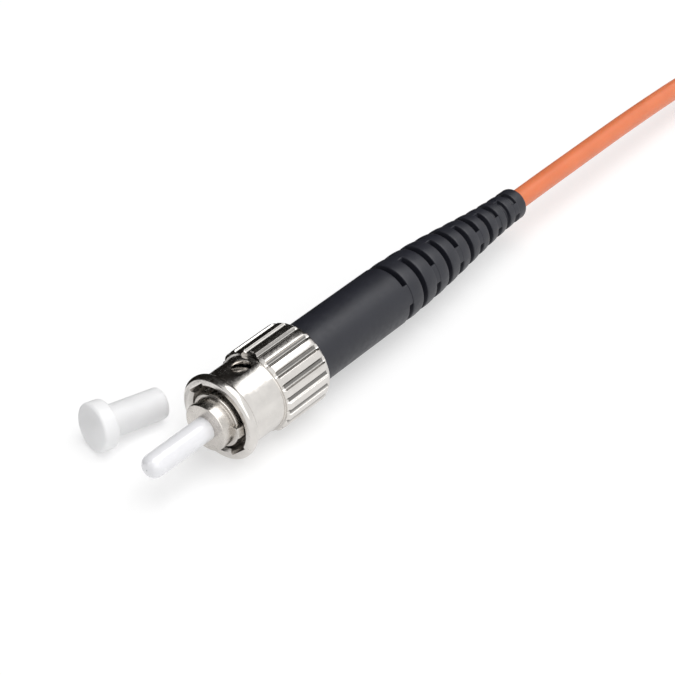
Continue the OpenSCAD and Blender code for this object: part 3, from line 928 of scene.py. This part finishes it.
class CONNECTOR_OT_lead(ConnectorPiece, bpy.types.Operator):
    """The lead, from inside the boot to its cut end in the tied hank"""

    bl_idname = "connector.lead"
    bl_label = "Lead"

    def execute(self, context):
        look = context.scene.connector_lead
        thick = look.diameter / MM
        route = self.through([Vector(p) / MM for p in LEAD_ROUTE], 4) + self.hank(thick)
        line = bpy.data.curves.new("lead", "CURVE")
        line.dimensions, line.bevel_depth, line.bevel_resolution = "3D", look.diameter / 2, 5
        line.use_fill_caps = True
        spline = line.splines.new("POLY")
        spline.points.add(len(route) - 1)
        for point, place in zip(spline.points, route):
            point.co = (*(Vector(place) * MM), 1)
        spline.use_smooth = True
        lead = bpy.data.objects.new("lead", line)
        context.scene.collection.objects.link(lead)
        line.materials.append(jacket_plastic(look.jacket))
        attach(lead, "root")
        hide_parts("cable", "hank")
        tie = self.tie(look)
        cut = self.cut_end(route[-1], thick)
        return {"FINISHED"}

    def through(self, points, steps):
        """A smooth line through the points."""
        made = []
        for i in range(len(points) - 1):
            a, b, c, d = (points[max(0, min(len(points) - 1, i + k))] for k in (-1, 0, 1, 2))
            for k in range(steps):
                t = k / steps
                made.append(0.5 * (2 * b + (c - a) * t + (2 * a - 5 * b + 4 * c - d) * t ** 2
                                   + (3 * b - a - 3 * c + d) * t ** 3))
        return made + [points[-1]]

    def hank(self, thick):
        """The line of the stored length: an outer coil that climbs, then an inner one that goes down."""
        low, high = mm_box("hank")
        middle, half = (low.x + high.x) / 2, (high.x - low.x) / 2
        near, far = low.y + half, high.y - half
        outer, inner = half - thick / 2, half - 1.5 * thick
        layers = int(round((high.z - low.z) / thick))
        tie_low, tie_high = mm_box("hank_tie")
        tie_at, tie_t = (tie_low.y + tie_high.y) / 2, 0.4
        line = []

        def level(k):
            return low.z + thick * (k + 0.5)

        def run(x0, k0, x1, k1, y0, y1, change, share=1.0):
            for t in np.linspace(0, share, max(3, int(24 * share)))[1:]:
                s = smooth_step((t - change[0]) / (change[1] - change[0]))
                line.append((x0 + (x1 - x0) * s, y0 + (y1 - y0) * t, level(k0) + (level(k1) - level(k0)) * s))

        def fold(x0, x1, y, k, side):
            centre, radius = (x0 + x1) / 2, abs(x1 - x0) / 2
            for a in np.linspace(0, math.pi, 17)[1:]:
                line.append((centre + (x0 - centre) * math.cos(a), y + side * radius * math.sin(a), level(k)))

        early, late = (0.0, 0.4), (0.6, 1.0)
        line.append((middle + outer, near, level(0)))
        for k in range(layers):
            run(middle + outer, k, middle + outer, k, near, far, early)
            fold(middle + outer, middle - outer, far, k, 1)
            if k < layers - 1:
                run(middle - outer, k, middle - outer, k + 1, far, near, late)
                fold(middle - outer, middle + outer, near, k + 1, -1)
            else:
                run(middle - outer, k, middle - inner, k, far, near, early)
                fold(middle - inner, middle + inner, near, k, -1)
        for k in range(layers - 1, 0, -1):
            run(middle + inner, k, middle + inner, k - 1, near, far, late)
            fold(middle + inner, middle - inner, far, k - 1, 1)
            run(middle - inner, k - 1, middle - inner, k - 1, far, near, early)
            fold(middle - inner, middle + inner, near, k - 1, -1)
        run(middle + inner, 0, middle + inner, 0, near, far, early, share=0.35)

        made = []
        for x, y, z in line:
            by_tie = 1 - smooth_step((abs(y - tie_at) - 3.5) / 5.0)
            made.append(Vector((x, y, z + by_tie * (tie_t - 0.1 * (z - level(0)) / thick))))
        return made

    def cut_end(self, end, thick):
        """What a cut across the lead shows: yarn, buffer and glass."""
        rings = []
        for radius, proud in ((thick / 2 - 0.4, 0.03), (0.45, 0.06), (0.0625, 0.08)):
            disc = prism("disc", round_section(radius, 32), -0.2, proud)
            rings.append(disc)
        finishes = (
            plain_plastic("cut_yarn", (0.78, 0.56, 0.12), 0.85, 0.05),
            plain_plastic("cut_buffer", (0.86, 0.84, 0.76), 0.5, 0.1),
            plain_plastic("cut_glass", (0.7, 0.8, 0.82), 0.1, 0.05))
        shell = bmesh.new()
        for index, disc in enumerate(rings):
            start = len(shell.faces)
            shell.from_mesh(disc.data)
            shell.faces.ensure_lookup_table()
            for face in shell.faces[start:]:
                face.material_index = index
        mesh = bpy.data.meshes.new("lead_cut_end")
        shell.to_mesh(mesh)
        shell.free()
        for disc in rings:
            bpy.data.objects.remove(disc)
        mesh.transform(Matrix.Translation(end))
        mesh.transform(Matrix.Scale(MM, 4))
        for finish in finishes:
            mesh.materials.append(finish)
        made = bpy.data.objects.new("lead_cut_end", mesh)
        bpy.context.scene.collection.objects.link(made)
        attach(made, "root")
        return made

    def tie(self, look):
        """A hook and loop strap round the hank, whose end laps over its start."""
        low, high = mm_box("hank_tie")
        hank_low, hank_high = mm_box("hank")
        thickness, corner = 0.4, 1.7
        x0, x1 = hank_low.x - 0.02, hank_high.x + 0.02
        z0, z1 = low.z + thickness / 2, high.z - thickness / 2
        path = []
        left, right = x0 - thickness / 2 + corner, x1 + thickness / 2 - corner
        bottom, top = z0 + corner, z1 - corner
        for cx, cz, start in ((right, top, 90), (right, bottom, 0), (left, bottom, -90), (left, top, -180)):
            for a in np.radians(np.linspace(start, start - 90, 9)):
                path.append(Vector((cx + corner * math.cos(a), cz + corner * math.sin(a))))
        middle = (x0 + x1) / 2
        lap = ((-5, 0), (-3, 0.7), (-1, 1), (5.5, 1))  # where the end laps over the start
        path = [Vector((middle - 2, z1))] + path
        path += [Vector((middle + x, z1 + thickness * layer)) for x, layer in lap]
        fine = []
        for a, b in zip(path, path[1:]):
            steps = max(1, int((b - a).length / 0.8))
            fine += [a + (b - a) * k / steps for k in range(steps)]
        fine.append(path[-1])
        across = np.linspace(-1, 1, 9)
        points, faces = [], []
        for i, p in enumerate(fine):
            on = (fine[min(i + 1, len(fine) - 1)] - fine[max(i - 1, 0)]).normalized()
            out = Vector((-on.y, on.x))
            for side in (-1, 1):
                for w in across:
                    edge = thickness / 2 * (1 - 0.45 * abs(w) ** 6)
                    y = (low.y + high.y) / 2 + w * ((high.y - low.y) / 2 - 0.05 * (1 + math.sin(i * 0.9)))
                    q = p + out * side * edge
                    points.append((q.x, y, q.y))
        wide = len(across)
        for i in range(len(fine) - 1):
            a, b = i * 2 * wide, (i + 1) * 2 * wide
            for k in range(wide - 1):
                faces.append((a + k, a + k + 1, b + k + 1, b + k))
                faces.append((a + wide + k, b + wide + k, b + wide + k + 1, a + wide + k + 1))
            faces.append((a, b, b + wide, a + wide))
            faces.append((a + wide - 1, a + 2 * wide - 1, b + 2 * wide - 1, b + wide - 1))
        for a in (0, (len(fine) - 1) * 2 * wide):
            faces.append(tuple(a + k for k in range(wide)) + tuple(a + 2 * wide - 1 - k for k in range(wide)))
        strap = form("hank_strap", points, faces)
        return placed(strap, "root", fabric(look.tie), "tie_fabric", "hank_tie", sharp=60)


# ---------------------------------------------------------------- panel


STEPS = (
    CONNECTOR_OT_studio, CONNECTOR_OT_lead, CONNECTOR_OT_ferrule, CONNECTOR_OT_barrel, CONNECTOR_OT_inside,
    CONNECTOR_OT_coupling_nut, CONNECTOR_OT_boot, CONNECTOR_OT_dust_cap)
GROUPS = {
    "connector_studio": StudioSettings, "connector_ferrule": FerruleSettings,
    "connector_metal": MetalSettings, "connector_boot": BootSettings,
    "connector_lead": LeadSettings, "connector_cap": CapSettings}


class CONNECTOR_PT_panel(bpy.types.Panel):
    """Lists the connector's pieces and their settings"""

    bl_idname = "CONNECTOR_PT_panel"
    bl_label = "Fibre connector"
    bl_space_type = "VIEW_3D"
    bl_region_type = "UI"
    bl_category = "Connector"

    def draw(self, context):
        for name, group in GROUPS.items():
            box = self.layout.box()
            box.label(text=name.split("_")[1].capitalize())
            for item in group.__annotations__:
                box.prop(getattr(context.scene, name), item)
        for step in STEPS:
            self.layout.operator(step.bl_idname)


def register():
    for group in GROUPS.values():
        bpy.utils.register_class(group)
    for name, group in GROUPS.items():
        setattr(bpy.types.Scene, name, PointerProperty(type=group))
    for step in STEPS:
        bpy.utils.register_class(step)
    bpy.utils.register_class(CONNECTOR_PT_panel)


def unregister():
    bpy.utils.unregister_class(CONNECTOR_PT_panel)
    for step in reversed(STEPS):
        bpy.utils.unregister_class(step)
    for name, group in GROUPS.items():
        delattr(bpy.types.Scene, name)
        bpy.utils.unregister_class(group)


def main():
    register()
    for step in STEPS:
        area, name = step.bl_idname.split(".")
        getattr(getattr(bpy.ops, area), name)()


if __name__ == "__main__":
    main()
